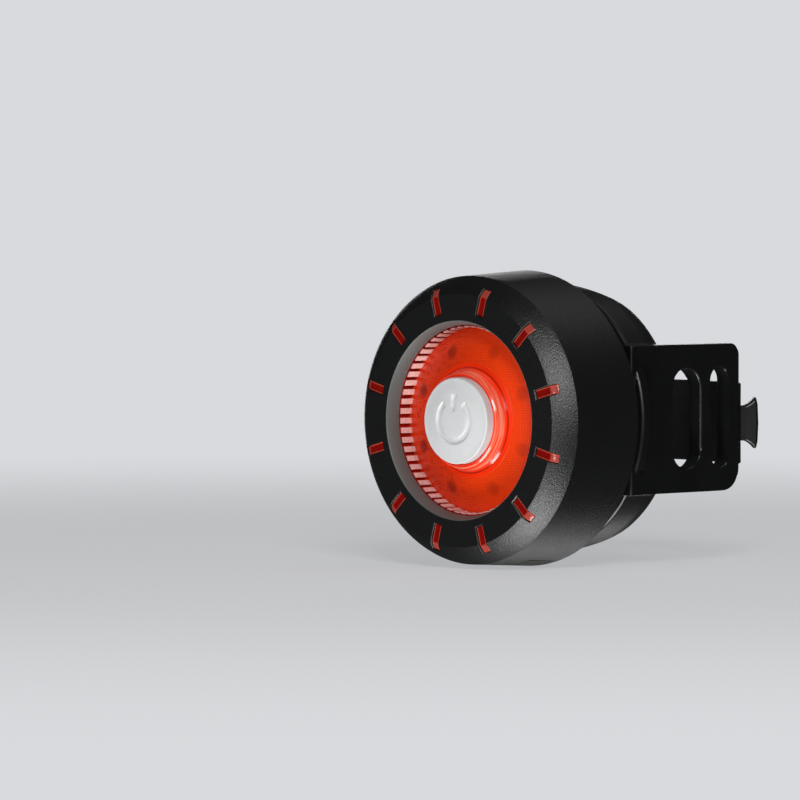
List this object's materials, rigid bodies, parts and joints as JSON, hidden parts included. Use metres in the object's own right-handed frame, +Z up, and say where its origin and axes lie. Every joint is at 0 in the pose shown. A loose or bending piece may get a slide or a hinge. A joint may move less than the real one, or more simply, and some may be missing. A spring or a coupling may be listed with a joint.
{
  "type": "bike rear light",
  "caption": "Round rear light with a ringed red lens and centre button, on a twist-off dock in a rubber cradle held to a seat post by a stretched band.",
  "frame": {"origin": "on the seat post's axis, level with the middle of the light", "axes": "+Z up along the seat post, the light's face looks along -Y, +X is the side of the light that shows its wing in the picture"},
  "size_m": [0.0448, 0.0519, 0.0448],
  "materials": {
    "housing_plastic": "fine grain, matte charcoal",
    "red_guide": "clear dark red, polished",
    "red_prism": "red prism ribs, polished",
    "red_lens": "clear red, finely hatched",
    "white_silicone": "satin white silicone",
    "white_plastic": "white reflector plastic",
    "switch_plastic": "moulded",
    "brass": "plain",
    "board": "solder mask",
    "lamp_resin": "lamp resin",
    "chip_plastic": "moulded",
    "steel": "stamped shell",
    "cover_silicone": "satin black silicone",
    "battery_foil": "pouch foil",
    "foam": "closed-cell foam",
    "lead_insulation": "lead insulation",
    "seal_rubber": "silicone seal",
    "cover_plastic": "matte black",
    "screw_steel": "zinc plated",
    "dock_plastic": "matte black",
    "cradle_rubber": "satin black rubber",
    "liner_rubber": "soft, ribbed",
    "band_rubber": "satin black silicone"
  },
  "bodies": {
    "bracket": {"cradle": "cradle_rubber", "saddle_pad": "liner_rubber", "rear_band": "band_rubber", "dock": "dock_plastic", "dock_screws": "screw_steel"},
    "light": {"front_housing": "housing_plastic", "light_guide": "red_guide", "prism_ring": "red_prism", "lens": "red_lens", "reflector_tray": "white_plastic", "tact_switch": "switch_plastic", "circuit_board": "board", "main_lamps": "lamp_resin", "guide_lamps": "lamp_resin", "control_chips": "chip_plastic", "charging_socket": "steel", "battery": "battery_foil", "battery_pad": "foam", "battery_leads": "lead_insulation", "housing_seal": "seal_rubber", "rear_cover": "cover_plastic", "cover_screws": "screw_steel"},
    "power_button": {"button": "white_silicone", "switch_stem": "brass"},
    "port_flap": {"port_cover": "cover_silicone"}
  },
  "joints": [
    {"name": "light_twist", "type": "hinge", "parent": "bracket", "child": "light", "pos_m": [0, -0.01815, 0], "axis": [0, -1, 0], "range_deg": [0, 60]},
    {"name": "button_press", "type": "slide", "parent": "light", "child": "power_button", "axis": [0, 1, 0], "range_m": [0, 0.0006], "stiffness_N_per_m": 2500},
    {"name": "port_open", "type": "hinge", "parent": "light", "child": "port_flap", "pos_m": [-0.007, -0.02435, -0.02043], "axis": [0, 1, 0], "range_deg": [0, 90]}
  ]
}
